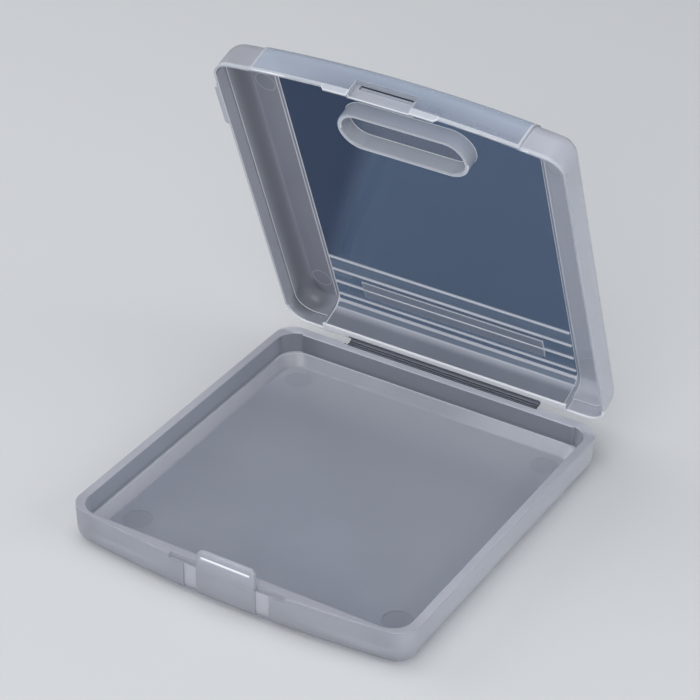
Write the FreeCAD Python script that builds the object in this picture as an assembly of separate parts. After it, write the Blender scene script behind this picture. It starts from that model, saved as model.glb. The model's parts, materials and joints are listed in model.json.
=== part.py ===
"""Hinged keeper case for one handheld game cartridge, moulded in one piece from polypropylene.

A shallow tray and a shallow lid of the same plan are joined along the back by a living hinge. The front is
bowed. A tongue on the tray snaps into a recess in the lid. The lid has a clear band across its middle.

Frame: millimetres, +Z up, origin under the middle of the tray. The back with the hinge is at +Y. The lid
stands open as it rests. It is drawn closed first and then turned about the hinge line.
"""
import FreeCAD, Part
import math
import os

V = FreeCAD.Vector

# Outer form
case_width = 76.0
case_depth = 82.6
front_bow = 2.9
corner_radius = 4.4
draft_angle = 3.0
rim_rounding = 0.2

# Tray
tray_height = 8.3
tray_edge_radius = 3.3
floor_thickness = 1.2
side_rim = 1.85
back_rim = 2.4
back_rim_length = 65.0
front_rim = 3.05
pocket_corner_radius = 4.5
ledge_height = 3.8
ledge_width = 0.5
pocket_slope = 1.3
floor_rounding = 0.8
mark_radius = 3.0
mark_depth = 0.15
mark_spacing = 59.0
mark_from_back = 8.5
mark_from_front = 14.0

# Lid
lid_height = 8.3
lid_edge_radius = 3.7
panel_thickness = 1.2
lip_thickness = 0.5
lip_depth = 3.0
lip_ledge = 0.4
lid_back_rim = 2.2
lid_corner_radius = 4.0
panel_rounding = 2.6
closing_gap = 0.1
open_angle = 67.3

# Clear band across the lid
band_width = 57.3
band_step = 0.2
band_shoulder = 0.5
rib_width = 0.5
rib_height = 0.4
rib_end_gap = 0.35
rib_count = 4
rib_pitch = 4.2
first_rib_from_back = 4.8
corner_rib_radius = 0.4
corner_rib_angle = 38.0
plate_length = 43.0
plate_width = 5.2
plate_height = 0.3
ring_length = 28.8
ring_width = 9.8
ring_wall = 0.9
ring_height = 3.4
ring_from_front = 16.3
ring_rounding = 0.25

# Living hinge
hinge_length = 45.4
hinge_setback = 0.9
hinge_drop = 0.5
web_thickness = 0.5
web_rise = 1.0
fold_gap = 0.05
hinge_relief = 0.6
hinge_root = 0.5
hinge_end_gap = 0.3

# Snap latch
tongue_width = 12.8
tongue_rise = 3.5
tongue_thickness = 0.9
tongue_inset = 0.1
tongue_corner = 1.4
tongue_edge = 0.2
tongue_root = 0.6
notch_width = 25.5
notch_depth = 1.0
bead_radius = 0.3
bead_length = 11.0
bead_rise = 3.0
thumb_ridge_radius = 0.35
thumb_ridge_rise = 2.0
thumb_ridge_length = 10.8
latch_clearance = 0.1
latch_side_clearance = 0.3
latch_wall = 0.5
ear_drop = 0.7
ear_clearance = 0.3
strip_width = 2.9
strip_depth = 0.3
strip_offset = 0.2
strip_foot = 1.6

# Moulding tab on the left of the lid's rim
tab_length = 10.7
tab_reach = 0.9
tab_thickness = 0.6
tab_from_front = 9.7
tab_root = 0.4
tab_corner = 0.5

# Tools that cut past a face reach this far beyond it
overshoot = 2.0

# Places worked out from the sizes above
half_width = case_width / 2
back_y = case_depth / 2
crown_y = -case_depth / 2
bow_radius = (half_width ** 2 + front_bow ** 2) / (2 * front_bow)
bow_centre_y = crown_y + bow_radius
draft = math.tan(math.radians(draft_angle))
lid_rim_z = tray_height + closing_gap
band_half = band_width / 2
shoulder_half = band_half + band_shoulder
panel_inside_z = lid_rim_z + lid_height + band_step - panel_thickness
hinge_y = back_y + hinge_setback
hinge_z = tray_height - hinge_drop
tongue_face_y = crown_y + tongue_inset
tongue_back_y = tongue_face_y + tongue_thickness
recess_floor_y = tongue_back_y + latch_clearance
recess_half = tongue_width / 2 + latch_side_clearance
recess_top_z = tray_height + tongue_rise + 2 * latch_clearance


def box(x0, x1, y0, y1, z0, z1):
    """Block between two corners."""
    return Part.makeBox(x1 - x0, y1 - y0, z1 - z0, V(x0, y0, z0))


def bar(radius, length, y, z):
    """Round bar along X, centred on the case's middle."""
    return Part.makeCylinder(radius, length, V(-length / 2, y, z), V(1, 0, 0))


def side_extrusion(points, length):
    """Outline in the YZ plane, drawn out along X and centred on the case's middle."""
    corners = [V(-length / 2, y, z) for y, z in points]
    face = Part.Face(Part.makePolygon(corners + corners[:1]))
    return face.extrude(V(length, 0, 0))


def arc(centre_x, centre_y, radius, start, end, z):
    """Arc in plan from one angle to another, in degrees."""
    def at(angle):
        turn = math.radians(angle)
        return V(centre_x + radius * math.cos(turn), centre_y + radius * math.sin(turn), z)

    return Part.Arc(at(start), at((start + end) / 2), at(end)).toShape()


def case_plan(z, inset, back_inset, corner):
    """The case's outline with its bowed front, set in from the rim line all round."""
    half = half_width - inset
    rear = back_y - back_inset
    bow = bow_radius - inset
    right = half - corner
    front_corner_y = bow_centre_y - math.sqrt((bow - corner) ** 2 - right ** 2)
    back_corner_y = rear - corner
    lean = math.degrees(math.atan2(right, bow_centre_y - front_corner_y))
    return Part.Wire([
        Part.makeLine(V(-right, rear, z), V(right, rear, z)),
        arc(right, back_corner_y, corner, 90, 0, z),
        Part.makeLine(V(half, back_corner_y, z), V(half, front_corner_y, z)),
        arc(right, front_corner_y, corner, 0, lean - 90, z),
        arc(0, bow_centre_y, bow, lean - 90, -lean - 90, z),
        arc(-right, front_corner_y, corner, -lean - 90, -180, z),
        Part.makeLine(V(-half, front_corner_y, z), V(-half, back_corner_y, z)),
        arc(-right, back_corner_y, corner, 180, 90, z),
    ])


def pocket_plan(z, inset, corner):
    """The tray pocket's outline, with a straight front, set in from the rim's inner edge."""
    half = half_width - side_rim - inset
    rear = back_y - side_rim - inset
    front = crown_y + front_rim + inset
    right = half - corner
    back_corner_y = rear - corner
    front_corner_y = front + corner
    return Part.Wire([
        Part.makeLine(V(-right, rear, z), V(right, rear, z)),
        arc(right, back_corner_y, corner, 90, 0, z),
        Part.makeLine(V(half, back_corner_y, z), V(half, front_corner_y, z)),
        arc(right, front_corner_y, corner, 0, -90, z),
        Part.makeLine(V(right, front, z), V(-right, front, z)),
        arc(-right, front_corner_y, corner, -90, -180, z),
        Part.makeLine(V(-half, front_corner_y, z), V(-half, back_corner_y, z)),
        arc(-right, back_corner_y, corner, 180, 90, z),
    ])


def edges_at(shape, z):
    """The shape's edges that lie in one level plane."""
    flat = 1e-4
    return [e for e in shape.Edges if abs(e.BoundBox.ZMin - z) < flat and abs(e.BoundBox.ZMax - z) < flat]


def moulded_block(rim_z, up, height, edge_radius, proud):
    """Drafted block from the rim to the far face, with its far edge and its rim edge rounded."""
    far_z = rim_z + up * height
    shrink = draft * height - proud
    far_corner = corner_radius - shrink
    rim = case_plan(rim_z, -proud, -proud, corner_radius + proud)
    far = case_plan(far_z, shrink, shrink, far_corner)
    block = Part.makeLoft([rim, far], True, True)
    block = block.makeFillet(min(edge_radius, 0.95 * far_corner), edges_at(block, far_z))
    return block.makeFillet(rim_rounding, edges_at(block, rim_z))


def tray_pocket():
    """The hollow of the tray: a steep upper wall, a narrow ledge and a slanted foot."""
    ledge_inset = draft * (tray_height - ledge_height)
    top_z = tray_height + overshoot
    upper = Part.makeLoft([
        pocket_plan(ledge_height, ledge_inset, pocket_corner_radius),
        pocket_plan(top_z, -draft * overshoot, pocket_corner_radius),
    ], True, True)
    foot_inset = ledge_inset + ledge_width
    lower = Part.makeLoft([
        pocket_plan(floor_thickness, foot_inset + pocket_slope, pocket_corner_radius),
        pocket_plan(ledge_height, foot_inset, pocket_corner_radius),
    ], True, True)
    lower = lower.makeFillet(floor_rounding, edges_at(lower, floor_thickness))
    thick_back = box(-back_rim_length / 2, back_rim_length / 2, back_y - back_rim, back_y,
                     ledge_height, top_z)
    return upper.cut(thick_back).fuse(lower)


def pocket_edges(tray):
    """The edges round the mouth of the pocket, in the plane of the tray's rim."""
    side = half_width - side_rim / 2
    front = crown_y + front_rim / 2
    rear = back_y - side_rim / 2
    mouth = []
    for edge in edges_at(tray, tray_height):
        reach = edge.BoundBox
        if reach.XMin > -side and reach.XMax < side and reach.YMin > front and reach.YMax < rear:
            mouth.append(edge)
    return mouth


def floor_marks():
    """Shallow round marks in the tray's floor, one near each corner."""
    places = [(side * mark_spacing / 2, y)
              for side in (-1, 1)
              for y in (crown_y + mark_from_front, back_y - mark_from_back)]
    marks = [Part.makeCylinder(mark_radius, mark_depth + overshoot, V(x, y, floor_thickness - mark_depth))
             for x, y in places]
    return marks[0].multiFuse(marks[1:])


def front_strips(block):
    """Shallow upright strips beside the tongue, cut into the bowed front face of the tray's block."""
    inner = block.copy()
    inner.translate(V(0, strip_depth, 0))
    start = tongue_width / 2 + strip_offset
    strips = [box(x, x + strip_width, crown_y - overshoot, crown_y + front_rim, strip_foot, tray_height)
              for x in (start, -start - strip_width)]
    return strips[0].fuse(strips[1]).cut(inner)


def snap_tongue():
    """Tongue on the tray's front, with rounded corners, a snap bead inside and a thumb ridge outside."""
    foot_z = tray_height - notch_depth - tongue_root
    top_z = tray_height + tongue_rise
    half = tongue_width / 2
    blade = box(-half, half, tongue_face_y, tongue_back_y, foot_z, top_z)
    top_corners = [e for e in edges_at(blade, top_z) if e.BoundBox.YLength > tongue_thickness / 2]
    blade = blade.makeFillet(tongue_corner, top_corners)
    face_edges = [e for e in blade.Edges if e.BoundBox.YLength < 1e-4]
    outline = [e for e in face_edges if e.BoundBox.ZMax > foot_z + tongue_root]
    blade = blade.makeFillet(tongue_edge, outline)
    bead = bar(bead_radius, bead_length, tongue_back_y, tray_height + bead_rise)
    ridge_y = tongue_face_y + thumb_ridge_radius / 2
    ridge = bar(thumb_ridge_radius, thumb_ridge_length, ridge_y, tray_height + thumb_ridge_rise)
    return blade.multiFuse([bead, ridge])


def tray_hinge_leaf():
    """The tray's half of the hinge web, ending in a wedge at the fold line."""
    half = web_thickness / 2
    root_y = back_y - hinge_relief - hinge_root
    neck_y = hinge_y - fold_gap - half
    return side_extrusion([
        (root_y, hinge_z - half),
        (neck_y, hinge_z - half),
        (hinge_y - fold_gap, hinge_z),
        (neck_y, hinge_z + half),
        (root_y, hinge_z + half),
    ], hinge_length)


def lid_hinge_leaf():
    """The lid's half of the hinge web: a wedge at the fold line, a short upright and a foot in the wall."""
    half = web_thickness / 2
    root_y = back_y - hinge_relief - hinge_root
    neck_z = hinge_z + fold_gap + half
    top_z = hinge_z + web_rise
    return side_extrusion([
        (root_y, top_z - half),
        (hinge_y - half, top_z - half),
        (hinge_y - half, neck_z),
        (hinge_y, hinge_z + fold_gap),
        (hinge_y + half, neck_z),
        (hinge_y + half, top_z),
        (hinge_y, top_z + half),
        (root_y, top_z + half),
    ], hinge_length)


def make_tray():
    """Tray with its pocket, latch tongue and half of the hinge."""
    block = moulded_block(tray_height, -1, tray_height, tray_edge_radius, 0)
    notch_half = notch_width / 2
    notch = box(-notch_half, notch_half, crown_y - overshoot, recess_floor_y,
                tray_height - notch_depth, tray_height + overshoot)
    relief_half = hinge_length / 2 + hinge_end_gap
    relief = box(-relief_half, relief_half, back_y - hinge_relief, back_y + overshoot,
                 hinge_z - web_thickness / 2, tray_height + overshoot)
    tray = block.cut(tray_pocket())
    tray = tray.makeFillet(rim_rounding, pocket_edges(tray))
    tray = tray.cut(floor_marks()).cut(front_strips(block))
    tray = tray.cut(notch).cut(relief)
    return tray.multiFuse([snap_tongue(), tray_hinge_leaf()]).removeSplitter()


def lid_hollow(proud, back_lip, back_wall):
    """The hollow of the lid: a thin lip, a ledge, and a rounded turn into the panel."""
    ledge_z = lid_rim_z + lip_depth
    far_z = lid_rim_z + lid_height + proud - panel_thickness
    lip_inset = lip_thickness - proud
    lip = Part.makeLoft([
        case_plan(lid_rim_z - overshoot, lip_inset, back_lip - proud, lid_corner_radius),
        case_plan(ledge_z, lip_inset, back_lip - proud, lid_corner_radius),
    ], True, True)
    wall_inset = lip_inset + lip_ledge
    taper = draft * (far_z - ledge_z)
    deep = Part.makeLoft([
        case_plan(ledge_z, wall_inset, back_wall - proud, lid_corner_radius),
        case_plan(far_z, wall_inset + taper, back_wall - proud + taper, lid_corner_radius),
    ], True, True)
    deep = deep.makeFillet(panel_rounding, edges_at(deep, far_z))
    return lip.fuse(deep)


def band_slab(half):
    """Upright slab across the case's middle, used to bound the band."""
    reach = 2 * case_depth
    return box(-half, half, -reach, reach, -reach, reach)


def lid_ears():
    """Two ears of the lid's lip beside the latch recess, which drop into the tray's notch."""
    outer = Part.Face(case_plan(lid_rim_z - ear_drop, -band_step, -band_step, corner_radius + band_step))
    lip_inset = lip_thickness - band_step
    inner = Part.Face(case_plan(lid_rim_z - ear_drop, lip_inset, lip_inset, lid_corner_radius))
    lip = outer.cut(inner).extrude(V(0, 0, ear_drop + lip_depth / 2))
    end = notch_width / 2 - ear_clearance
    foot_z = lid_rim_z - ear_drop
    outline = [(recess_half, foot_z), (end - ear_drop, foot_z), (end, lid_rim_z),
               (end, lid_rim_z + lip_depth), (recess_half, lid_rim_z + lip_depth)]
    corners = [V(x, crown_y - overshoot, z) for x, z in outline]
    right = Part.Face(Part.makePolygon(corners + corners[:1])).extrude(V(0, overshoot + front_rim, 0))
    left = right.mirror(V(0, 0, 0), V(1, 0, 0))
    return lip.common(right.fuse(left))


def panel_ribs():
    """Ribs across the clear band near the hinge, one in the rounded turn, and a blank name plate."""
    half = band_half - rib_end_gap
    back_inside = back_y + band_step - lid_back_rim
    ribs = []
    for i in range(rib_count):
        y = back_y - first_rib_from_back - i * rib_pitch
        ribs.append(box(-half, half, y - rib_width / 2, y + rib_width / 2,
                        panel_inside_z - rib_height, panel_inside_z + panel_thickness / 2))
    turn = math.radians(corner_rib_angle)
    centre_y = back_inside - panel_rounding
    centre_z = panel_inside_z - panel_rounding
    ribs.append(bar(corner_rib_radius, 2 * half, centre_y + panel_rounding * math.sin(turn),
                    centre_z + panel_rounding * math.cos(turn)))
    plate_half = plate_length / 2
    plate_y = back_y - first_rib_from_back - rib_pitch
    ribs.append(box(-plate_half, plate_half, plate_y - plate_width / 2, plate_y + plate_width / 2,
                    panel_inside_z - plate_height, panel_inside_z + panel_thickness / 2))
    return ribs


def stadium(length, width, z0, z1):
    """Upright bar with round ends, long across the case, at the ring's place on the panel."""
    y = crown_y + ring_from_front
    radius = width / 2
    run = length / 2 - radius
    middle = box(-run, run, y - radius, y + radius, z0, z1)
    ends = [Part.makeCylinder(radius, z1 - z0, V(side * run, y, z0)) for side in (-1, 1)]
    return middle.multiFuse(ends).removeSplitter()


def panel_ring():
    """Long round-ended ring that stands on the inside of the lid's panel near the front."""
    low_z = panel_inside_z - ring_height
    outer = stadium(ring_length, ring_width, low_z, panel_inside_z + panel_thickness / 2)
    hole_length = ring_length - 2 * ring_wall
    hole_width = ring_width - 2 * ring_wall
    ring = outer.cut(stadium(hole_length, hole_width, low_z - overshoot, panel_inside_z))
    return ring.makeFillet(ring_rounding, edges_at(ring, low_z))


def moulding_tab():
    """Thin tab left on the lid's rim at the left."""
    y0 = crown_y + tab_from_front
    outer_x = -half_width - tab_reach
    tab = box(outer_x, -half_width + tab_root, y0, y0 + tab_length, lid_rim_z, lid_rim_z + tab_thickness)
    upright = [e for e in tab.Edges if e.BoundBox.ZLength > tab_thickness / 2]
    corners = [e for e in upright if e.BoundBox.XMax < outer_x + tab_reach / 2]
    return tab.makeFillet(tab_corner, corners)


def make_lid():
    """Lid with its clear band, ribs, ring, latch recess and half of the hinge, drawn closed."""
    block = moulded_block(lid_rim_z, 1, lid_height, lid_edge_radius, 0)
    band = moulded_block(lid_rim_z, 1, lid_height + band_step, lid_edge_radius, band_step)
    shell = block.fuse(band.common(band_slab(shoulder_half)))
    shell = shell.cut(lid_hollow(0, lip_thickness, lip_thickness + lip_ledge).cut(band_slab(shoulder_half)))
    for half, proud in ((shoulder_half, band_step / 2), (band_half, band_step)):
        shell = shell.cut(lid_hollow(proud, lid_back_rim, lid_back_rim).common(band_slab(half)))

    boss_half = recess_half + latch_wall
    boss = box(-boss_half, boss_half, crown_y + lip_thickness / 2, recess_floor_y + latch_wall,
               lid_rim_z, recess_top_z + latch_wall)
    shell = shell.multiFuse([boss, lid_ears()])
    recess = box(-recess_half, recess_half, crown_y - overshoot, recess_floor_y,
                 lid_rim_z - overshoot, recess_top_z)
    groove = bar(bead_radius + latch_clearance, bead_length + 2 * latch_clearance, tongue_back_y,
                 tray_height + bead_rise)
    relief_half = hinge_length / 2 + hinge_end_gap
    relief = box(-relief_half, relief_half, back_y - hinge_relief, back_y + overshoot,
                 lid_rim_z - overshoot, hinge_z + web_rise - web_thickness / 2)
    shell = shell.cut(recess).cut(groove).cut(relief)
    shell = shell.multiFuse(panel_ribs() + [panel_ring(), moulding_tab(), lid_hinge_leaf()])
    return shell.removeSplitter()


tray = make_tray()
lid = make_lid()
lid.rotate(V(0, hinge_y, hinge_z), V(-1, 0, 0), open_angle)

os.makedirs("parts", exist_ok=True)
for name, shape in (("tray", tray), ("lid", lid)):
    solids = shape.Solids
    print(name, "solids", len(solids), "valid", shape.isValid(), "volume", round(shape.Volume, 1))
    piece = solids[0] if len(solids) == 1 else shape
    piece.exportStep("parts/" + name + ".step")
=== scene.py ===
# %% [markdown]
# # A hinged keeper case for a game cartridge
#
# The case is one moulding of polypropylene. A shallow tray and a shallow lid share a thin hinge along the back, so
# the plastic itself bends and there is no pin. Most of it is frosted. The middle of the lid is polished, so that
# one can see what lies inside.
#
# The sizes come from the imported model, which is loaded first and never changed. This lesson adds what a solid
# model leaves out: soft edges, the film of the hinge, small moulding marks, and the finishes.

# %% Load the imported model
import json
import math
import bmesh
import bpy
from mathutils import Matrix, Vector

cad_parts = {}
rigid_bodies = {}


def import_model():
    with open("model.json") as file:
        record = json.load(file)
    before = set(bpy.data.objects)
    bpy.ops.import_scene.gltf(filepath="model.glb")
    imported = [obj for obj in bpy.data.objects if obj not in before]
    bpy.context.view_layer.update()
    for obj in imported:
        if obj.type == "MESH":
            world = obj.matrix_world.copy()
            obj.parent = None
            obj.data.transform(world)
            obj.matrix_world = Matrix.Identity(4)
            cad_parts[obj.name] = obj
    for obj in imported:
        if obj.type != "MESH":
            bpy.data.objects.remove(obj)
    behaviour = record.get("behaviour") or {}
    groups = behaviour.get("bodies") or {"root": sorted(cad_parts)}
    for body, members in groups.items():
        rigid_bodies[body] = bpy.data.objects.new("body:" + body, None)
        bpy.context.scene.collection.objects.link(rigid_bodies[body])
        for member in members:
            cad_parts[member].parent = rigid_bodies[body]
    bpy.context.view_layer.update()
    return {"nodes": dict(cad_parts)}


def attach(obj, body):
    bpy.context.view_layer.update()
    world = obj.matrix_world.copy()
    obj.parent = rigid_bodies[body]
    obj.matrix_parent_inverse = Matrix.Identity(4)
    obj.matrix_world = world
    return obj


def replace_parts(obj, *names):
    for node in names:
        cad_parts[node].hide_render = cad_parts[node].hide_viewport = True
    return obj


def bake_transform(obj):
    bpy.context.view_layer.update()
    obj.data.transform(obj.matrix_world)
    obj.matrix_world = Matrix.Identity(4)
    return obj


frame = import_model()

MM = 0.001


def in_mm(values):
    """Lengths in metres as rounded millimetres, for printing."""
    return [round(value / MM, 2) for value in values]


# %% [markdown]
# ## The camera
#
# The camera is set first, because every later choice is judged through it. A tracking constraint could aim it, but
# it would hold the camera level, and the photographer's camera leans a little. So the camera's three axes are worked
# out from its turn about the case, its height and its lean. These and the lens fit the case's straight edges and
# corners. The lens is long for its sensor, so the case shows little perspective.

# %% Set up the camera
camera_turn, camera_height, camera_lean = [math.radians(angle) for angle in (29.821, 32.362, 1.826)]
camera_place = (0.206861, -0.357896, 0.298329)

back = Vector((math.sin(camera_turn) * math.cos(camera_height), -math.cos(camera_turn) * math.cos(camera_height),
               math.sin(camera_height)))
right = Vector((math.cos(camera_turn), math.sin(camera_turn), 0.0))
up = back.cross(right)
leaning_right = right * math.cos(camera_lean) + up * math.sin(camera_lean)
leaning_up = up * math.cos(camera_lean) - right * math.sin(camera_lean)

lens = bpy.data.cameras.new("photo_lens")
lens.sensor_width = 36.0
lens.lens = 130.958
lens.clip_start = 0.01
camera = bpy.data.objects.new("photo_camera", lens)
bpy.context.scene.collection.objects.link(camera)
axes = Matrix((leaning_right, leaning_up, back)).transposed().to_4x4()
camera.matrix_world = Matrix.Translation(camera_place) @ axes
bpy.context.scene.camera = camera
print("camera stands", round(camera.location.length / MM), "mm from the middle of the tray")

# %% [markdown]
# ## Places on the lid
#
# The lid stands open, so its own straight lines run askew to the axes. It is easier to speak of the lid as if it
# were shut. These helpers turn a point of the open lid back about the hinge line, and the other way, with the shut
# places in millimetres. A parented empty could do the same, but plain functions can also be asked about a face.

# %% Turn a point of the lid shut, and open again
open_angle = math.radians(67.3)
hinge_y, hinge_z = 42.2, 7.8
cos_open, sin_open = math.cos(open_angle), math.sin(open_angle)


def shut(point):
    """The place of a point of the open lid when the case is shut, in millimetres."""
    y, z = point.y / MM - hinge_y, point.z / MM - hinge_z
    return Vector((point.x / MM, hinge_y + y * cos_open - z * sin_open, hinge_z + y * sin_open + z * cos_open))


def shut_way(direction):
    """A direction on the open lid as it is when the case is shut."""
    return Vector((direction.x, direction.y * cos_open - direction.z * sin_open,
                   direction.y * sin_open + direction.z * cos_open))


def opened(x, y, z):
    """Where a place of the shut lid, in millimetres, is on the open lid."""
    y, z = y - hinge_y, z - hinge_z
    return Vector((x, hinge_y + y * cos_open + z * sin_open, hinge_z - y * sin_open + z * cos_open)) * MM


lid_up = Vector((0.0, sin_open, cos_open))
lid_backwards = Vector((0.0, cos_open, -sin_open))
print("front of the lid's rim stands at", in_mm(opened(0, -41.3, 8.4)), "mm")

# %% [markdown]
# ## Shells from the solids
#
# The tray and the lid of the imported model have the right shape, but their meshes are loose triangles. Each shell is
# a merged copy of its solid. Flat neighbours are joined into larger faces, because a bevel runs clean only over
# whole faces. A remesh would also close the mesh, but it would blur the thin walls and the fine steps.

# %% Copy the solids as shells
same_point = 3e-6
flat_enough = math.radians(0.2)


def shell_from(node):
    """A merged copy of one solid's mesh, with its flat triangles joined."""
    shell = bmesh.new()
    shell.from_mesh(frame["nodes"][node].data)
    bmesh.ops.remove_doubles(shell, verts=shell.verts, dist=same_point)
    bmesh.ops.dissolve_limit(shell, angle_limit=flat_enough, verts=shell.verts, edges=shell.edges)
    print(node, "shell has", len(shell.faces), "faces")
    return shell


tray_shape = shell_from("tray")
lid_shape = shell_from("lid")

# %% [markdown]
# ## Lines where a finish changes
#
# A material belongs to whole faces, so its border can only run along edges. Where a finish begins in the middle of
# a face, the shell is cut along a plane there. A cut leaves the shape as it is and only adds edges. A mask painted
# on the mesh could draw the same border, but it would be only as sharp as the mesh is fine. A face counts as facing
# a way, leaning to it or tilted to it by how much of its normal points there.

# %% Helpers that cut a shell
facing, leaning, tilted = 0.9, 0.2, 0.05
on_plane = 1e-6


def between(value, span):
    """Whether a value lies between the two ends of a span."""
    return span[0] < value < span[1]


def cut(shell, place, way, wanted):
    """Cut the wanted faces of a shell along one plane."""
    faces = [face for face in shell.faces if wanted(face.calc_center_median(), face.normal)]
    edges = {edge for face in faces for edge in face.edges}
    verts = {vert for face in faces for vert in face.verts}
    bmesh.ops.bisect_plane(shell, geom=[*verts, *edges, *faces], dist=on_plane, plane_co=place, plane_no=way)


def in_lid(wanted):
    """The same test, asked of the shut lid."""
    return lambda place, way: wanted(shut(place), shut_way(way))


def inside(place, way):
    """Whether a face of the shut lid looks into the case."""
    return way.z < -leaning or way.x * place.x + way.y * place.y < 0


def in_tray(wanted):
    """The same test, asked with the tray's places in millimetres."""
    return lambda place, way: wanted(place / MM, way)


looking_in = sum(inside(shut(face.calc_center_median()), shut_way(face.normal)) for face in lid_shape.faces)
print(looking_in, "of the lid's", len(lid_shape.faces), "faces look into the case")

# %% [markdown]
# ## The lid's lines
#
# The clear band runs over the middle of the lid, between two straight borders, and ends where the panel turns down
# into the front and back walls. Below it the rim has a bright lip, with painted light along the back, and the hinge
# leaf has a line of painted shade where it folds. Each of these borders is one cut, given by its height, its length
# or its width on the shut lid.

# %% Cut the lid
band_half = 28.7
front_y, back_y, lid_back_y = -35.0, 35.0, 36.0
outer_turn_z, front_turn_z = 16.5, 15.2
back_turn_low_z, back_turn_z = 13.60, 13.85
lip_z, back_lip_z = 9.2, 8.9
inner_wall_z = 8.8
border_line, border_strip = (28.47, 29.33), (28.46, 29.34)
band_end = (28.55, 28.85)
rib_field_y, rib_field_z = 23.4, 15.65
lid_rim_top, lid_back_rim_y = (8.35, 8.45), 36.5
leaf_y = 40.6
lid_leaf, lid_fold = (8.5, 8.6), (41.20, 41.40)

for z, wanted in (
    (outer_turn_z, lambda place, way: abs(place.x) < band_half and way.z > 0),
    (front_turn_z, lambda place, way: abs(place.x) < band_half and way.z < 0 and place.y < front_y),
    (back_turn_z, lambda place, way: abs(place.x) < band_half and way.z < 0 and place.y > back_y),
    (back_turn_low_z, lambda place, way: abs(place.x) < band_half and way.z < 0 and place.y > back_y),
    (lip_z, lambda place, way: way.y < -leaning and place.y < front_y),
    (back_lip_z, lambda place, way: inside(place, way) and place.y > lid_back_y),
):
    cut(lid_shape, opened(0, 0, z), lid_up, in_lid(wanted))

cut(lid_shape, opened(0, rib_field_y, 0), lid_backwards,
    in_lid(lambda place, way: abs(place.x) < band_half and way.z < -facing and place.z > rib_field_z))
for x in border_line:
    for side in (-x, x):
        cut(lid_shape, (side * MM, 0, 0), (1, 0, 0),
            in_lid(lambda place, way: inside(place, way) and place.z > inner_wall_z))
for side in (-band_end[1], -band_end[0], *band_end):
    cut(lid_shape, (side * MM, 0, 0), (1, 0, 0),
        in_lid(lambda place, way: place.y < front_y and not inside(place, way) and place.z > lip_z))
cut(lid_shape, opened(0, lid_back_rim_y, 0), lid_backwards,
    in_lid(lambda place, way: way.z < -facing and between(place.z, lid_rim_top)))
for y in lid_fold:
    cut(lid_shape, opened(0, y, 0), lid_backwards,
        in_lid(lambda place, way: place.y > leaf_y and way.z < -facing and between(place.z, lid_leaf)))
print("after the cuts the lid has", len(lid_shape.faces), "faces")

# %% [markdown]
# ## The tray's lines
#
# On the tray the front wall is whitened in two narrow strips beside the snap tongue. The hinge leaf folds along two
# lines of painted shade. Along the back, the rim and the ledge inside the pocket get painted light, brighter than
# along the sides.

# %% Cut the tray
strip_x, strip_cut_y, strip_cut_z = (6.6, 9.5), -34.0, 1.7
tray_leaf, tray_folds = (7.9, 8.1), ((41.00, 41.18), (41.52, 41.70))
ledge, back_ledge_y = (3.7, 3.9), 33.0
tray_rim_top, tray_back_rim_y = (8.2, 8.4), 38.6

for side in (-strip_x[1], -strip_x[0], *strip_x):
    cut(tray_shape, (side * MM, 0, 0), (1, 0, 0),
        in_tray(lambda place, way: place.y < strip_cut_y and way.y < -leaning and place.z < strip_cut_z))
for fold_line in tray_folds:
    for y in fold_line:
        cut(tray_shape, (0, y * MM, 0), (0, 1, 0),
            in_tray(lambda place, way: place.y > leaf_y and way.z > facing and between(place.z, tray_leaf)))
for y, height in ((back_ledge_y, ledge), (tray_back_rim_y, tray_rim_top)):
    cut(tray_shape, (0, y * MM, 0), (0, 1, 0),
        in_tray(lambda place, way: way.z > facing and between(place.z, height)))
print("after the cuts the tray has", len(tray_shape.faces), "faces")

# %% [markdown]
# ## Zones of one moulding
#
# One moulding has several finishes, because the mould's steel is blasted in some places and polished in others, and
# because thin plastic looks clearer than thick. Other zones are lit or shaded copies of a finish: painted light and
# painted shade. Faces could be picked by hand in the editor, but the next change of a size would lose the choice.
# Here each face gets the number of its zone from its place and the way it faces.

# %% Name the zones
zone_names = """wall floor pocket panel rim edge window rib_field rib ring band strip pin_mark groove lip border
    back_wall back_lip side_wall plate rib_gap ring_face panel_back""".split()
(WALL, FLOOR, POCKET, PANEL, RIM, EDGE, WINDOW, RIB_FIELD, RIB, RING, BAND, STRIP, PIN_MARK, GROOVE, LIP, BORDER,
 BACK_WALL, BACK_LIP, SIDE_WALL, PLATE, RIB_GAP, RING_FACE, PANEL_BACK) = range(len(zone_names))


def paint_zones(name, shape, zone_of):
    """Give every face of a shell the number of its zone, and print the area of each zone."""
    area = [0.0] * len(zone_names)
    for face in shape.faces:
        face.material_index = zone_of(face)
        area[face.material_index] += face.calc_area() / MM ** 2
    print(name, "zones in square mm:", {zone: round(a) for zone, a in zip(zone_names, area) if a})


print("there are", len(zone_names), "zones")

# %% [markdown]
# ## Zones of the tray
#
# The tests run from the back to the front: first the hinge leaf with its fold lines, then the rim, the ledge, the
# floor with its ejector marks, the wall of the pocket, and the strips and the tongue at the front. What is left is
# plain frosted wall.

# %% Sort the tray's faces
tray_web_y = 41.2
tray_rim, painted_light_rim_y = (8.08, 8.31), 38.5
mark_floor = (1.0, 1.10)
floor_z, underside_z = 1.3, 0.05
pocket_wall, pocket_front_y = (3.85, 8.2), -38.6
strip_front_y, strip_top_z, strip_facing = -36.0, 7.4, 0.15
tongue_bead, tongue_front_y = (9.9, 10.7), -41.21


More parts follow.
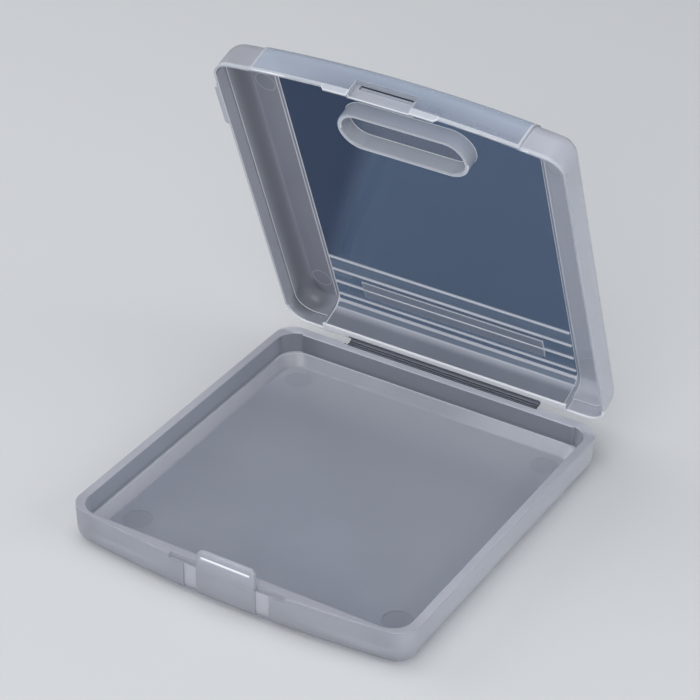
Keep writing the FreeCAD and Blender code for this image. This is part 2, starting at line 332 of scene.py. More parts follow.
def tray_zone(face):
    """Which finish a face of the tray has."""
    x, y, z = face.calc_center_median() / MM
    way = face.normal
    inward = way.x * x + way.y * y < 0
    # the hinge leaf takes the pocket wall's painted shade, and its fold lines a darker painted shade
    if y > leaf_y and between(z, tray_leaf) and way.z > facing:
        return GROOVE if any(between(y, fold_line) for fold_line in tray_folds) else POCKET
    if y > tray_web_y:
        return POCKET
    # painted light on the back of the rim and of the ledge, which the open lid shades
    if between(z, tray_rim) and way.z > tilted:
        return RIB if y > painted_light_rim_y else RIM
    if between(z, ledge) and way.z > facing and y > back_ledge_y:
        return RIB
    if between(z, mark_floor) and way.z > facing:
        return PIN_MARK
    if z < underside_z or (z < floor_z and (way.z > facing or inward)):
        return FLOOR
    # the upper wall of the pocket gets painted shade
    if inward and between(z, pocket_wall) and y > pocket_front_y:
        return POCKET
    if y < strip_front_y and between(abs(x), strip_x) and z < strip_top_z and way.y < -strip_facing:
        return STRIP
    if between(z, tongue_bead) and y < tongue_front_y:
        return EDGE
    return WALL


paint_zones("tray", tray_shape, tray_zone)

# %% [markdown]
# ## The ring near the lid's front
#
# A ring in the shape of a stadium stands on the inside of the window, and probably keeps the cartridge from
# rattling. It is clear plastic seen on edge. Its flat crest and the rounded sides of the crest that look towards the
# hinge get a painted highlight. The other rounded sides and the walls of its hole get a duller copy: painted shade.
# A mask by the way a face looks would do for a straight rib, but the ring turns, so two helpers tell its sides
# apart by their place.

# %% Tell the sides of the ring apart
ring_y, ring_straight_half, ring_middle = -25.0, 9.5, 4.45


def in_ring_hole(x, y):
    """Whether a place on the ring is on the side of its hole."""
    end = max(-ring_straight_half, min(ring_straight_half, x))
    return math.hypot(x - end, y - ring_y) < ring_middle


def ring_crest_zone(x, y):
    """The ring's rounded crest: painted highlight on the sides facing the hinge, painted shade on the others."""
    return EDGE if in_ring_hole(x, y) == (y < ring_y) else RING_FACE


print("the hole's front side is", zone_names[ring_crest_zone(0, -29)], "and its back side",
      zone_names[ring_crest_zone(0, -21)])

# %% [markdown]
# ## Zones of the lid
#
# The lid is sorted as if it were shut. The hinge leaf and the lips of the rim come first, then the borders of the
# clear band and the frosted sides. Inside the band follow the latch recess, the ring, the ribs, the plate between
# the ribs, and the window.

# %% Sort the lid's faces
lid_web_y, lid_rim_z = 41.5, 8.63
border_middle = (28.66, 29.14)
side_wall_x, panel_facing = -33.4, 0.985
bead_groove_x, bead_groove_y, bead_groove, bead_groove_mid = 5.7, (-40.19, -39.0), (10.8, 11.8), 11.56
recess_x, recess_y, recess_behind_y, recess_reach, recess = 6.8, -40.2, -40.21, 0.02, (8.7, 12.1)
panel_inside_z = 15.69
ring_floor_x, ring_floor_half, ring_floor_area = 13.4, 4.0, 400 * MM ** 2
ring_x, ring_half, ring_wall = 14.45, 4.95, (12.2, panel_inside_z)
ring_crest_z, crest_facing = 12.54, 0.999
rib_places, rib_half, rib_height = [36.5 - 4.2 * i for i in range(4)], 0.26, (15.2, panel_inside_z)
turn_rib_y, turn_rib_z, turn_rib_reach = 38.30, 15.15, 0.42
plate_y, plate_height = (29.5, 35.2), (15.3, panel_inside_z)


def lid_rim_zone(x, y, z, way, inner):
    """The finish of a face on the lid's hinge leaf, lips and frosted sides, or None for the middle band."""
    # the hinge leaf takes the pocket wall's painted shade, and its fold line a darker painted shade
    if y > leaf_y and between(z, lid_leaf) and way.z < -facing:
        return GROOVE if between(y, lid_fold) else POCKET
    if y > lid_web_y:
        return POCKET
    # painted light on the back lip, which lies in the lid's shade
    if z < lid_rim_z and way.z < -tilted:
        return BACK_LIP if y > lid_back_y else LIP
    if inner and z > inner_wall_z and between(abs(x), border_strip):
        return BORDER if between(abs(x), border_middle) and abs(way.x) < facing else EDGE
    if not inner and y < front_y and z > lip_z and between(abs(x), band_end):
        return LIP
    # the same painted light on the inside of the back lip
    if inner and y > lid_back_y and z < back_lip_z:
        return BACK_LIP
    if inner and x < side_wall_x and way.z > -panel_facing:
        return SIDE_WALL
    if abs(x) > band_half:
        if inner or z > outer_turn_z:
            return PANEL if inner else PANEL_BACK
        return LIP if z < lip_z and y < front_y else WALL
    return None


def lid_band_zone(x, y, z, way, inner, area):
    """The finish of a face on the lid's middle band."""
    if abs(x) < bead_groove_x and between(y, bead_groove_y) and between(z, bead_groove):
        # painted shadow in the upper half of the bead groove
        return GROOVE if z > bead_groove_mid else WALL
    if inner and abs(x) < recess_x and y < recess_behind_y and between(z, recess):
        return LIP
    if abs(x) < recess_x and abs(y - recess_y) < recess_reach and z < recess[1]:
        return WALL
    if (abs(x) < ring_floor_x and abs(y - ring_y) < ring_floor_half and z > panel_inside_z
            and area < ring_floor_area):
        return RIB_FIELD if inner else WINDOW
    if abs(x) < ring_x and abs(y - ring_y) < ring_half and between(z, ring_wall):
        if z < ring_crest_z:
            # painted highlight or painted shade on the crest, by the side it faces
            return RING if abs(way.z) > crest_facing else ring_crest_zone(x, y)
        return RING_FACE if in_ring_hole(x, y) else RING
    if any(abs(y - rib_y) < rib_half for rib_y in rib_places) and between(z, rib_height):
        return RIB
    if math.hypot(y - turn_rib_y, z - turn_rib_z) < turn_rib_reach:
        return RIB
    if between(z, plate_height) and between(y, plate_y) and inner:
        return PLATE
    if inner and z > back_turn_z and y > rib_field_y:
        return RIB_GAP
    if z > outer_turn_z or inner and z > (front_turn_z if y < front_y else back_turn_z):
        return WINDOW
    if inner and z > back_turn_low_z and y > back_y:
        return RIB
    if y < front_y:
        return LIP if z < lip_z and not inner else BAND
    return BACK_WALL if inner else WALL


def lid_zone(face):
    """Which finish a face of the lid has, from its place on the shut lid."""
    place, way = shut(face.calc_center_median()), shut_way(face.normal)
    inner = inside(place, way)
    zone = lid_rim_zone(*place, way, inner)
    return lid_band_zone(*place, way, inner, face.calc_area()) if zone is None else zone


paint_zones("lid", lid_shape, lid_zone)

# %% [markdown]
# ## Soft edges
#
# A moulding never has a truly sharp corner: the steel of the mould is rounded a little. In see-through plastic such
# an edge also shines, because light that travels inside the wall leaves there. So the sharp outward corners are
# bevelled by about a tenth of a millimetre, and the new narrow faces get a finish that their place asks for,
# mostly a painted highlight for that shine. A Bevel modifier could round them too, but it can't choose a finish by
# place. The width is not clamped, because the shortest edge of the whole shell would then set it.

# %% A helper that bevels the outward corners
sharp_angle, smooth_angle = math.radians(40), math.radians(35)
band_step = (28.4, 29.4)


def soften_edges(shell, width, edge_zone):
    """Bevel the sharp outward edges, and give the new faces the finish that their place asks for."""
    sharp = []
    for edge in shell.edges:
        zones = {face.material_index for face in edge.link_faces}
        on_band_step = all(between(abs(vert.co.x) / MM, band_step) for vert in edge.verts)
        outward = edge.is_convex and not zones & {FLOOR, PIN_MARK, STRIP}
        wanted = outward or zones & {RING, RING_FACE}
        if edge.calc_face_angle(0.0) > sharp_angle and not on_band_step and wanted:
            sharp.append(edge)
    volume = shell.calc_volume()
    made = bmesh.ops.bevel(shell, geom=sharp, offset=width, offset_type="OFFSET", segments=2, profile=0.5,
                           affect="EDGES", clamp_overlap=False, material=-1)
    for face in made["faces"]:
        face.material_index = edge_zone(face.calc_center_median())
    for face in shell.faces:
        face.smooth = True
    for edge in shell.edges:
        edge.smooth = edge.calc_face_angle(0.0) < smooth_angle
    shaved = (volume - shell.calc_volume()) / MM ** 3
    print("bevelled", len(sharp), "edges into", len(made["faces"]), "faces, which shaved off", round(shaved, 2),
          "cubic mm")


print("edges sharper than", round(math.degrees(sharp_angle)), "degrees will be softened")

# %% [markdown]
# ## Finishes of the softened edges
#
# Most soft edges get a painted highlight. Along the folds of the hinge they get painted shade, for looking there
# through a thin film into shade. The tray's rim keeps its milky tone, and the back of the ledge gets painted light.
# Round the latch recess the edges take the tone of the lip, of the polished front or of the slot's painted shadow,
# whichever they lie on.

# %% Bevel the outward corners
tray_bevel, lid_bevel = 0.10 * MM, 0.12 * MM
ledge_edge, tongue_edge_z = (3.5, 4.0), 8.4
lid_web_edge_y = 41.4
recess_front_y, recess_low_z = -38.5, 8.9
recess_edge_x, recess_slot_x, recess_lip_x = 13.0, 6.3, 7.0
slot_y, slot_z = -40.6, 11.3
ring_edge_x, ring_edge_half, ring_edge = 14.9, 5.0, (12.2, 12.6)


def tray_edge_zone(place):
    """Which finish a softened edge of the tray has."""
    x, y, z = place / MM
    # painted shade on the hinge folds; painted light on the back of the ledge
    if y > tray_web_y:
        return GROOVE
    if between(z, ledge_edge):
        return RIB if y > back_ledge_y else LIP
    return EDGE if z > tongue_edge_z else RIM


def lid_edge_zone(place):
    """Which finish a softened edge of the lid has."""
    x, y, z = shut(place)
    if y > lid_web_edge_y:
        return GROOVE
    if y < recess_front_y and abs(x) < recess_edge_x and z > recess_low_z:
        if abs(x) < recess_slot_x:
            # the slot's top edge gets the groove's painted shadow
            return GROOVE if y > slot_y and z > slot_z else BAND
        return LIP if abs(x) < recess_lip_x else BAND
    if abs(x) < ring_edge_x and abs(y - ring_y) < ring_edge_half and between(z, ring_edge):
        return ring_crest_zone(x, y)
    return EDGE


soften_edges(tray_shape, tray_bevel, tray_edge_zone)
soften_edges(lid_shape, lid_bevel, lid_edge_zone)

# %% [markdown]
# ## From shapes to pieces
#
# A bmesh is only a shape in memory. It becomes a piece when it is written to a mesh and an object is linked to the
# scene. Each shell stands for its solid and rides on the same body, so it swings with the lid. A Weighted Normal
# modifier lets the large flat faces set the shading, so that the narrow bevels do not bend it.

# %% Make the shells into pieces
scene_objects = bpy.context.scene.collection.objects


def add_piece(shape, name):
    """Turn a finished bmesh into an object of the scene."""
    mesh = bpy.data.meshes.new(name)
    shape.to_mesh(mesh)
    shape.free()
    piece = bpy.data.objects.new(name, mesh)
    scene_objects.link(piece)
    print(name, "has", len(mesh.polygons), "faces")
    return piece


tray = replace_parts(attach(add_piece(tray_shape, "tray_shell"), "tray"), "tray")
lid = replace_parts(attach(add_piece(lid_shape, "lid_shell"), "lid"), "lid")
for shell in (tray, lid):
    weighted = shell.modifiers.new("flat faces stay flat", "WEIGHTED_NORMAL")
    weighted.keep_sharp = True
    weighted.weight = 100

# %% [markdown]
# ## The hinge film
#
# A living hinge is a film of plastic, thinner than a fingernail, that joins the two halves. The solids end in two
# wedges at the fold line, so that each can move as a stiff body. The film between them is made here as a narrow
# grid, bent along the fold as the lid rests, and then given its thickness. It lies along the tray on one side of
# the fold and along the lid on the other.

# %% Make the hinge film
film_length, film_half, film_thickness = 45.2 * MM, 0.42 * MM, 0.16 * MM
fold = Vector((0.0, hinge_y, hinge_z)) * MM
tray_leaf_way = Vector((0.0, 1.0, 0.0))

film_shape = bmesh.new()
bmesh.ops.create_grid(film_shape, x_segments=24, y_segments=8, size=1.0)
for vert in film_shape.verts:
    along, across = vert.co.x * film_length / 2, vert.co.y * film_half
    way = tray_leaf_way if across < 0 else lid_up
    vert.co = fold + Vector((along, 0.0, 0.0)) + way * across
bmesh.ops.recalc_face_normals(film_shape, faces=film_shape.faces)
bmesh.ops.solidify(film_shape, geom=film_shape.faces[:], thickness=film_thickness)
bmesh.ops.translate(film_shape, verts=film_shape.verts, vec=(0.0, 0.0, -film_thickness / 2))
bmesh.ops.recalc_face_normals(film_shape, faces=film_shape.faces)
for face in film_shape.faces:
    face.smooth = True
film = add_piece(film_shape, "hinge_film")
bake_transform(film)

# %% [markdown]
# ## Pin marks on the lid
#
# Round steel pins push a moulding out of its mould, and each leaves a faint mark. The tray's solid has four discs in
# its floor. On the lid's side panels only the outlines of four pins show, too fine for the solid. Each is made here
# from a filled circle: it is inset once upwards and once downwards, which leaves a low ridge, and the middle is
# removed. A torus would also give a ring, but its lower half would be buried in the panel.

# %% Make the pin marks
mark_radius, ridge_width, ridge_height = 2.4 * MM, 0.15 * MM, 0.05 * MM
mark_x, mark_y, panel_z = (-32.0, 32.0), (-28.0, 33.0), 15.5
face_down = Matrix.Rotation(math.pi - open_angle, 4, "X")

marks_shape = bmesh.new()
for x in mark_x:
    for y in mark_y:
        outline = bmesh.ops.create_circle(marks_shape, cap_ends=True, radius=mark_radius, segments=40)["verts"]
        middle = outline[0].link_faces[0]
        bmesh.ops.inset_individual(marks_shape, faces=[middle], thickness=ridge_width, depth=ridge_height)
        crest = list(middle.verts)
        bmesh.ops.inset_individual(marks_shape, faces=[middle], thickness=ridge_width, depth=-ridge_height)
        ridge = [*outline, *crest, *middle.verts]
        bmesh.ops.delete(marks_shape, geom=[middle], context="FACES_ONLY")
        onto_panel = Matrix.Translation(opened(x, y, panel_z)) @ face_down
        bmesh.ops.transform(marks_shape, verts=ridge, matrix=onto_panel)
print("on the shut lid the ridges reach from", round(shut(outline[0].co).z, 2), "down to",
      round(shut(crest[0].co).z, 2), "mm")
pin_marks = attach(add_piece(marks_shape, "lid_pin_marks"), "lid")

# %% [markdown]
# ## Node groups
#
# Several finishes share the same effects, so each effect is a node group, built once and placed in every finish with
# its own values. Copying the nodes into each material would work as well, but a change would then have to be made
# more than twenty times. These helpers make an empty group, add a node with its values, and give the place on the
# piece in millimetres.

# %% Helpers for nodes
def new_group(name, inputs, outputs):
    """An empty shader node group with named number sockets, and its input and output nodes."""
    group = bpy.data.node_groups.new(name, "ShaderNodeTree")
    for socket, value in inputs:
        group.interface.new_socket(socket, in_out="INPUT", socket_type="NodeSocketFloat").default_value = value
    for socket in outputs:
        group.interface.new_socket(socket, in_out="OUTPUT", socket_type="NodeSocketFloat")
    print("group", name, "puts out", outputs)
    return group, group.nodes.new("NodeGroupInput"), group.nodes.new("NodeGroupOutput")


def place_node(tree, kind, **values):
    """Add a node and set its inputs by name."""
    node = tree.nodes.new(kind)
    for name, value in values.items():
        node.inputs[name.replace("_", " ")].default_value = value
    return node


def millimetres(tree):
    """Object coordinates in millimetres."""
    where = tree.nodes.new("ShaderNodeTexCoord")
    scaled = tree.nodes.new("ShaderNodeVectorMath")
    scaled.operation = "SCALE"
    scaled.inputs["Scale"].default_value = 1 / MM
    tree.links.new(where.outputs["Object"], scaled.inputs[0])
    return scaled.outputs["Vector"]


print("patterns are measured in millimetres,", round(1 / MM), "to a metre")

# %% [markdown]
# ## Grain
#
# Blasted steel leaves a fine grain on the plastic, a few grains to the millimetre. The melt also flows and cools
# unevenly, which leaves broad soft clouds. Both are noise, one fine and one wide, so one group gives both.

# %% Build the grain
grain, grain_in, grain_out = new_group("frosted_grain", [("Grain per mm", 3.0), ("Clouds per mm", 0.06)],
                                       ["Grain", "Clouds"])
where = millimetres(grain)
fine = place_node(grain, "ShaderNodeTexNoise", Detail=3.0, Roughness=0.6)
clouds = place_node(grain, "ShaderNodeTexNoise", Detail=2.0, Roughness=0.45, Distortion=0.6)
for noise, socket, output in ((fine, "Grain per mm", "Grain"), (clouds, "Clouds per mm", "Clouds")):
    grain.links.new(where, noise.inputs["Vector"])
    grain.links.new(grain_in.outputs[socket], noise.inputs["Scale"])
    grain.links.new(noise.outputs["Fac"], grain_out.inputs[output])
print("the grain group has", len(grain.nodes), "nodes")

# %% [markdown]
# ## Fades
#
# See-through plastic is seldom one tone: it pales where the wall is thick. Most fades here are painted light and
# shade: paler where light leaves the wall, darker in a corner. Such a change is slow and runs one way. This group
# measures how far a point lies along a direction and turns the distance into a smooth step from 0 to 1.

# %% Build the fade
fade, fade_in, fade_out = new_group("fade_along", [("From", 0.0), ("To", 1.0)], ["Fade"])
fade.interface.new_socket("Direction", in_out="INPUT", socket_type="NodeSocketVector")
distance = fade.nodes.new("ShaderNodeVectorMath")
distance.operation = "DOT_PRODUCT"
fade.links.new(millimetres(fade), distance.inputs[0])
fade.links.new(fade_in.outputs["Direction"], distance.inputs[1])
ramp = fade.nodes.new("ShaderNodeMapRange")
ramp.interpolation_type = "SMOOTHSTEP"
fade.links.new(distance.outputs["Value"], ramp.inputs["Value"])
fade.links.new(fade_in.outputs["From"], ramp.inputs["From Min"])
fade.links.new(fade_in.outputs["To"], ramp.inputs["From Max"])
fade.links.new(ramp.outputs["Result"], fade_out.inputs["Fade"])
print("the fade group has", len(fade.nodes), "nodes")

# %% [markdown]
# ## Handling marks
#
# Polished plastic shows hairlines from handling and a few specks of dust. The hairlines are noise, stretched along
# one direction until it turns into lines, with only its highest parts kept. The specks are the middles of a wide
# cell pattern. Two inputs say how much of each a finish shows.

# %% Build the handling marks
hairline_turn, hairline_stretch = (0.3, 0.2, 0.7), (0.05, 2.2, 2.2)

marks, marks_in, marks_out = new_group("handling_marks", [("Hairlines", 0.5), ("Dust", 0.5)], ["Hairlines", "Dust"])
where = millimetres(marks)
stretch = place_node(marks, "ShaderNodeMapping", Rotation=hairline_turn, Scale=hairline_stretch)
marks.links.new(where, stretch.inputs["Vector"])
lines = place_node(marks, "ShaderNodeTexNoise", Scale=1.0, Detail=2.0)
marks.links.new(stretch.outputs["Vector"], lines.inputs["Vector"])
thin = place_node(marks, "ShaderNodeMapRange", From_Min=0.62, From_Max=0.72)
marks.links.new(lines.outputs["Fac"], thin.inputs["Value"])
dots = place_node(marks, "ShaderNodeTexVoronoi", Scale=0.11)
marks.links.new(where, dots.inputs["Vector"])
small = place_node(marks, "ShaderNodeMapRange", From_Min=0.035, From_Max=0.02)
marks.links.new(dots.outputs["Distance"], small.inputs["Value"])
for mask, socket in ((thin, "Hairlines"), (small, "Dust")):
    share = marks.nodes.new("ShaderNodeMath")
    share.operation = "MULTIPLY"
    marks.links.new(mask.outputs["Result"], share.inputs[0])
    marks.links.new(marks_in.outputs[socket], share.inputs[1])
    marks.links.new(share.outputs["Value"], marks_out.inputs[socket])
print("groups:", [group.name for group in bpy.data.node_groups])

# %% [markdown]
# ## One recipe for every finish
#
# All finishes are the same plastic. What changes is how milky it is. A milky wall scatters light, so it gets less
# transmission and a paler colour. A polished face lets light through, so it gets more transmission and less
# roughness. Cycles could scatter light inside a volume, but that is slow and noisy in walls this thin, so the
# colour, roughness and transmission of one Principled shader do the work.

# %% Helpers that colour a finish
plastic_ior = 1.49
dust_colour = (0.8, 0.82, 0.85)


def place_group(tree, group, **values):
    """Place a node group in a material and set its inputs by name."""
    node = tree.nodes.new("ShaderNodeGroup")
    node.node_tree = group
    for name, value in values.items():
        node.inputs[name].default_value = value
    return node


def mix_colours(tree, share, first, second):
    """Mix a first colour, fixed or from a node, with a fixed second colour."""
    mix = tree.nodes.new("ShaderNodeMix")
    mix.data_type = "RGBA"
    if isinstance(first, bpy.types.NodeSocket):
        tree.links.new(first, mix.inputs["A"])
    else:
        mix.inputs["A"].default_value = (*first, 1.0)
    mix.inputs["B"].default_value = (*second, 1.0)
    tree.links.new(share, mix.inputs["Factor"])
    return mix.outputs["Result"]


def fading(milk, along, start, end):
    """A change to another milk, between two distances in millimetres along a direction."""
    return {"milk": milk, "along": along, "start": start, "end": end}


print("polypropylene bends light by an index of", plastic_ior)

# %% [markdown]
# ## The shader of a finish
#
# The clouds let the colour drift between two close tones, the fades carry it on to others, mostly painted light
# and shade, and dust lies over it.
# The grain makes the roughness uneven and, as a bump, breaks up the reflections. Hairlines add a little roughness.
# Index and transmission are the same all over a finish, so they are set on the shader itself.

# %% A function that makes a finish
uneven_rough, hairline_rough, bump_distance = 0.03, 0.25, 0.00005


def finish(name, milk, shade, rough, transmission, grain_depth, hairlines=0.0, dust=0.0, ior=plastic_ior, fades=()):
    """A see-through plastic whose colour drifts between milk and shade, with grain and marks of use."""
    material = bpy.data.materials.new(name)
    material.use_nodes = True
    tree = material.node_tree
    shader = tree.nodes["Principled BSDF"]
    shader.inputs["IOR"].default_value = ior
    shader.inputs["Transmission Weight"].default_value = transmission
    texture = place_group(tree, grain)
    wear = place_group(tree, marks, Hairlines=hairlines, Dust=dust)

    drift = place_node(tree, "ShaderNodeMapRange", From_Min=0.35, From_Max=0.65)
    tree.links.new(texture.outputs["Clouds"], drift.inputs["Value"])
    colour = mix_colours(tree, drift.outputs["Result"], shade, milk)
    for change in fades:
        span = place_group(tree, fade, Direction=change["along"], From=change["start"], To=change["end"])
        colour = mix_colours(tree, span.outputs["Fade"], colour, change["milk"])
    colour = mix_colours(tree, wear.outputs["Dust"], colour, dust_colour)
    tree.links.new(colour, shader.inputs["Base Color"])

    uneven = place_node(tree, "ShaderNodeMapRange", From_Min=0.3, From_Max=0.7,
                        To_Min=rough - uneven_rough, To_Max=rough + uneven_rough)
    tree.links.new(texture.outputs["Grain"], uneven.inputs["Value"])
    scuffed = tree.nodes.new("ShaderNodeMath")
    scuffed.operation = "MULTIPLY_ADD"
    scuffed.inputs[1].default_value = hairline_rough
    tree.links.new(wear.outputs["Hairlines"], scuffed.inputs[0])
    tree.links.new(uneven.outputs["Result"], scuffed.inputs[2])
    tree.links.new(scuffed.outputs["Value"], shader.inputs["Roughness"])

    bump = place_node(tree, "ShaderNodeBump", Strength=grain_depth, Distance=bump_distance)
    tree.links.new(texture.outputs["Grain"], bump.inputs["Height"])
    tree.links.new(bump.outputs["Normal"], shader.inputs["Normal"])
    return material


finishes = {}
print("roughness varies by", uneven_rough, "about its middle")

# %% [markdown]
# ## Finishes of the tray
#
# The walls are frosted and pale, with painted light towards the right wall and painted shade at the left one.
# The floor is thin, so it is darker; painted light makes it paler towards the back and the right, against the
# shade of the open lid. The upper wall of the pocket is painted shade, darkest at its foot and in the back left
# corner. The rim is milky, because one looks along the wall there, and painted shade darkens it to the front.
# The strips beside the tongue are whiter, probably from the strain of bending. Lamps alone could make some of
# these tones, but they would then slide over the case when it is turned, so this painted light and shade is
# part of the materials.

# %% Make the tray's finishes
to_right, to_left, to_back, to_front = (1.0, 0.0, 0.0), (-1.0, 0.0, 0.0), (0.0, 1.0, 0.0), (0.0, -1.0, 0.0)
down, back_and_right, back_and_left = (0.0, 0.0, -1.0), (0.4, 0.92, 0.0), (-0.5, 0.87, 0.0)
to_right_wall = (0.93, 0.37, -0.22)

# painted light towards the right wall, painted shade at the left wall
finishes[WALL] = finish(
    "frosted_wall", (0.74, 0.76, 0.83), (0.68, 0.70, 0.77), rough=0.34, transmission=0.66, grain_depth=0.25,
    fades=[fading((0.87, 0.895, 0.96), to_right_wall, 14.0, 30.0),
           fading((0.63, 0.645, 0.705), to_left, 28.0, 33.0)])
# painted light: paler towards the back and the right, against the open lid's shade
finishes[FLOOR] = finish(
    "thin_frosted_floor", (0.485, 0.51, 0.595), (0.455, 0.48, 0.565), rough=0.36, transmission=0.60,
    grain_depth=0.25, hairlines=0.4,
    fades=[fading((0.60, 0.63, 0.715), back_and_right, -25.0, 42.0),
           fading((0.80, 0.83, 0.91), to_back, 20.0, 38.0)])
# the same painted light as the floor
finishes[PIN_MARK] = finish(
    "pin_mark", (0.44, 0.465, 0.545), (0.41, 0.435, 0.515), rough=0.36, transmission=0.60, grain_depth=0.25,
    fades=[fading((0.56, 0.59, 0.67), back_and_right, -25.0, 42.0),
           fading((0.72, 0.75, 0.83), to_back, 20.0, 38.0)])
# painted shade: the whole pocket wall is darkened, most at the back, at its foot and in the back left corner
finishes[POCKET] = finish(
    "pocket_wall_painted_shade", (0.41, 0.435, 0.51), (0.38, 0.405, 0.48), rough=0.34, transmission=0.60,
    grain_depth=0.2,
    fades=[fading((0.355, 0.377, 0.445), to_back, 34.0, 38.5),
           fading((0.28, 0.297, 0.35), down, -5.2, -4.0),
           fading((0.22, 0.235, 0.28), back_and_left, 46.5, 51.5)])
# painted shade: the rim darkens towards the front
finishes[RIM] = finish(
    "milky_rim", (0.60, 0.615, 0.68), (0.56, 0.575, 0.64), rough=0.34, transmission=0.50, grain_depth=0.15,
    fades=[fading((0.49, 0.503, 0.56), to_front, 30.0, 38.0)])
finishes[STRIP] = finish(
    "whitened_strip", (0.86, 0.87, 0.94), (0.82, 0.83, 0.91), rough=0.36, transmission=0.55, grain_depth=0.20)
print("tray finishes:", [material.name for material in finishes.values()])

# %% [markdown]
# ## Finishes of the clear band
#
# The band across the lid is polished on both sides. Over a pale floor clear plastic would almost vanish, so the
# window is tinted a smoky blue and reflects more weakly than the rest: its index is lower. To the left of a
# slanting line it is darker: a painted reflection. The ribs and the ring are thick and pale, the ring with
# painted light, and between the ribs the window is a little hazy. The front of the band is paler towards the panel
# and towards its left end.

# %% Make the clear band's finishes
window_ior = 1.30
across_window_reflection = (0.93, 0.143, -0.341)


def lid_height(z):
    """How far a height on the shut lid lies along the lid's own upward direction, in millimetres."""
    return lid_up.dot(opened(0, 0, z) / MM)


# painted reflection: darker to the left of a slanting line across the window
finishes[WINDOW] = finish(
    "clear_window", (0.024, 0.056, 0.130), (0.022, 0.052, 0.122), rough=0.05, transmission=0.92, grain_depth=0.02,
    hairlines=0.5, dust=0.6, ior=window_ior, fades=[fading((0.122, 0.180, 0.285), across_window_reflection, -32.5, -25.5)])
finishes[BORDER] = finish(
    "window_border", (0.34, 0.355, 0.41), (0.31, 0.325, 0.38), rough=0.36, transmission=0.60, grain_depth=0.05)
finishes[BAND] = finish(
    "polished_band_front", (0.37, 0.425, 0.53), (0.34, 0.395, 0.50), rough=0.20, transmission=0.65,
    grain_depth=0.10,
    fades=[fading((0.62, 0.70, 0.83), lid_up, lid_height(9.0), lid_height(15.5)),
           fading((0.63, 0.69, 0.80), to_left, -5.0, 25.0)])
# partly painted light: the ring is made pale, though much of it lies in shade
finishes[RING] = finish(
    "clear_ring", (0.88, 0.91, 0.98), (0.82, 0.85, 0.93), rough=0.20, transmission=0.40, grain_depth=0.08)
# painted shade: a duller copy of the ring for its faces away from the hinge
finishes[RING_FACE] = finish(
    "ring_face_painted_shade", (0.69, 0.715, 0.77), (0.64, 0.665, 0.72), rough=0.20, transmission=0.40, grain_depth=0.08)
finishes[RIB_FIELD] = finish(
    "hazy_ring_floor", (0.24, 0.255, 0.315), (0.22, 0.235, 0.295), rough=0.16, transmission=0.75,
    grain_depth=0.05, hairlines=0.3)
finishes[RIB] = finish(
    "raised_ribs", (0.66, 0.68, 0.75), (0.62, 0.64, 0.71), rough=0.36, transmission=0.25, grain_depth=0.05)
finishes[RIB_GAP] = finish(
    "hazy_rib_gap", (0.180, 0.240, 0.340), (0.170, 0.228, 0.325), rough=0.10, transmission=0.88, grain_depth=0.02)
finishes[PLATE] = finish(
    "frosted_name_plate", (0.36, 0.38, 0.44), (0.33, 0.35, 0.41), rough=0.36, transmission=0.70, grain_depth=0.20)
print("the band's front pales from", round(lid_height(9.0), 1), "to", round(lid_height(15.5), 1), "mm up the lid")

# %% [markdown]
# ## Finishes of the lid's sides, lips and hinge
#
# Painted light makes the frosted sides of the lid paler from left to right. The left wall is pale at the lip,
# painted shade darkens its rounded turn, and then it takes the panel's tone, so three tones follow each other.
# Painted shade makes the inner corner at the back left the darkest. The lips and the edges hardly let light
# through; the edges shine with a painted highlight, and the back lip, which lies in the lid's shade, with painted
# light. Along the hinge the folds are lines of painted shade. They could be modelled as grooves, but in a film
# this thin a groove would cut it through.

# %% Make the finishes of the lid's sides, lips and hinge
lid_side, lid_side_shade = (0.35, 0.365, 0.43), (0.32, 0.335, 0.40)
# painted light: the lid's frosted sides pale from left to right
painted_light_right = fading((0.58, 0.60, 0.68), to_right, -20.0, 25.0)
# painted shade: the inner back left corner of the lid is darkest
into_corner = Vector((-0.55, 0.0, 0.0)) + 0.55 * lid_backwards + 0.63 * lid_up
corner_from = into_corner.dot(opened(0, 0, 0) / MM)
painted_corner_shade = fading((0.17, 0.18, 0.215), into_corner, corner_from + 47.0, corner_from + 48.7)

finishes[PANEL] = finish(
    "frosted_lid_panel", lid_side, lid_side_shade, rough=0.36, transmission=0.62, grain_depth=0.25,
    fades=[painted_light_right, painted_corner_shade])
# the same painted light on the outside of the panels
finishes[PANEL_BACK] = finish(
    "frosted_lid_back", lid_side, lid_side_shade, rough=0.36, transmission=0.62, grain_depth=0.25,
    fades=[painted_light_right])
# painted shade in the rounded turn of the left wall, and the corner's painted shade
finishes[SIDE_WALL] = finish(
    "frosted_side_wall", (0.56, 0.575, 0.64), (0.53, 0.545, 0.61), rough=0.36, transmission=0.62, grain_depth=0.25,
    fades=[fading((0.15, 0.158, 0.19), lid_up, lid_height(10.4), lid_height(14.4)),
           fading(lid_side, to_right, -36.2, -33.5), painted_corner_shade])
finishes[BACK_WALL] = finish(
    "frosted_back_wall", (0.25, 0.267, 0.327), (0.23, 0.247, 0.305), rough=0.34, transmission=0.60,
    grain_depth=0.2, fades=[fading((0.64, 0.66, 0.74), lid_up, lid_height(11.6), lid_height(13.7))])
# painted highlight: near white and hardly clear, for light that leaves the wall at an edge
finishes[EDGE] = finish(
    "edge_painted_highlight", (0.84, 0.855, 0.89), (0.80, 0.815, 0.86), rough=0.36, transmission=0.10, grain_depth=0.05)
finishes[LIP] = finish(
    "bright_lip", (0.56, 0.59, 0.65), (0.53, 0.56, 0.62), rough=0.36, transmission=0.30, grain_depth=0.10)
# painted light: near white for the back lip, which lies in the lid's shade
finishes[BACK_LIP] = finish(
    "back_lip_painted_light", (0.97, 0.98, 1.00), (0.93, 0.94, 0.98), rough=0.36, transmission=0.05, grain_depth=0.10)
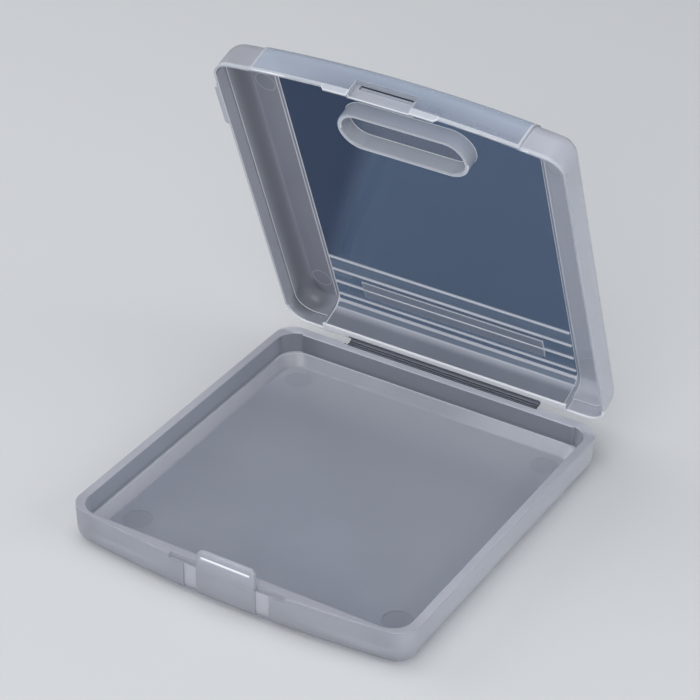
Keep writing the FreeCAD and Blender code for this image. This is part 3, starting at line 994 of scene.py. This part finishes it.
# painted shade: near black for the hinge folds, the latch slot and the top of the bead groove
finishes[GROOVE] = finish(
    "groove_painted_shade", (0.030, 0.036, 0.050), (0.026, 0.032, 0.045), rough=0.15, transmission=0.60, grain_depth=0.02)
print("there are", len(finishes), "finishes for", len(zone_names), "zones")

# %% [markdown]
# ## Finishes on the pieces
#
# A face keeps only a number, and the number picks a slot of its object. So each shell gets all the finishes as
# slots, in the order of the zones. The film and the pin marks have one finish each.

# %% Put the finishes on the pieces
for shell in (tray, lid):
    for zone in range(len(zone_names)):
        shell.data.materials.append(finishes[zone])
# the film takes the pocket wall's painted shade
film.data.materials.append(finishes[POCKET])
pin_marks.data.materials.append(finishes[RIM])
for piece in (tray, lid, film, pin_marks):
    print(piece.name, "has", len({polygon.material_index for polygon in piece.data.polygons}), "finishes")

# %% [markdown]
# ## The floor
#
# A pale floor lights see-through plastic from below, as a sheet of paper would. One flat grid, wide enough that its
# border never shows, is all it needs.

# %% Lay the floor
floor_half, floor_colour = 3.0, (0.53, 0.54, 0.555, 1.0)

floor_shape = bmesh.new()
bmesh.ops.create_grid(floor_shape, x_segments=1, y_segments=1, size=floor_half)
floor_mesh = bpy.data.meshes.new("pale_floor")
floor_shape.to_mesh(floor_mesh)
floor_shape.free()
floor = bpy.data.objects.new("pale_floor", floor_mesh)
scene_objects.link(floor)
paint = bpy.data.materials.new("pale_floor_paint")
paint.use_nodes = True
paint.node_tree.nodes["Principled BSDF"].inputs["Base Color"].default_value = floor_colour
paint.node_tree.nodes["Principled BSDF"].inputs["Roughness"].default_value = 0.8
floor_mesh.materials.append(paint)
print("the floor is", 2 * floor_half, "m wide")

# %% [markdown]
# ## The light
#
# Large soft lamps show see-through plastic best, because every lamp is reflected as a broad soft patch. One lamp
# hangs overhead, one stands behind the camera, and one at each side fills the walls. A faint bluish world light
# keeps the shadows open. The Standard view transform leaves the tones as they are.

# %% Set the lamps
case_middle = Vector((0, 0, 0.03))
studio_colour, studio_strength = (0.84, 0.88, 0.94, 1.0), 0.34


def softbox(name, place, size, power):
    """A square lamp that faces the case."""
    lamp = bpy.data.lights.new(name, "AREA")
    lamp.size = size
    lamp.energy = power
    stand = bpy.data.objects.new(name, lamp)
    scene_objects.link(stand)
    stand.location = place
    stand.rotation_euler = (case_middle - Vector(place)).to_track_quat("-Z", "Y").to_euler()
    print(name, "stands", round((Vector(place) - case_middle).length, 2), "m from the case")


softbox("overhead_softbox", place=(-0.10, -0.10, 0.95), size=0.9, power=5.0)
softbox("front_softbox", place=(0.25, -0.90, 0.65), size=0.8, power=6.2)
softbox("right_softbox", place=(0.90, 0.00, 0.45), size=0.7, power=3.4)
softbox("left_softbox", place=(-0.90, -0.10, 0.40), size=0.7, power=3.4)
world = bpy.data.worlds.new("studio")
bpy.context.scene.world = world
world.use_nodes = True
world.node_tree.nodes["Background"].inputs["Color"].default_value = studio_colour
world.node_tree.nodes["Background"].inputs["Strength"].default_value = studio_strength
bpy.context.scene.view_settings.view_transform = "Standard"
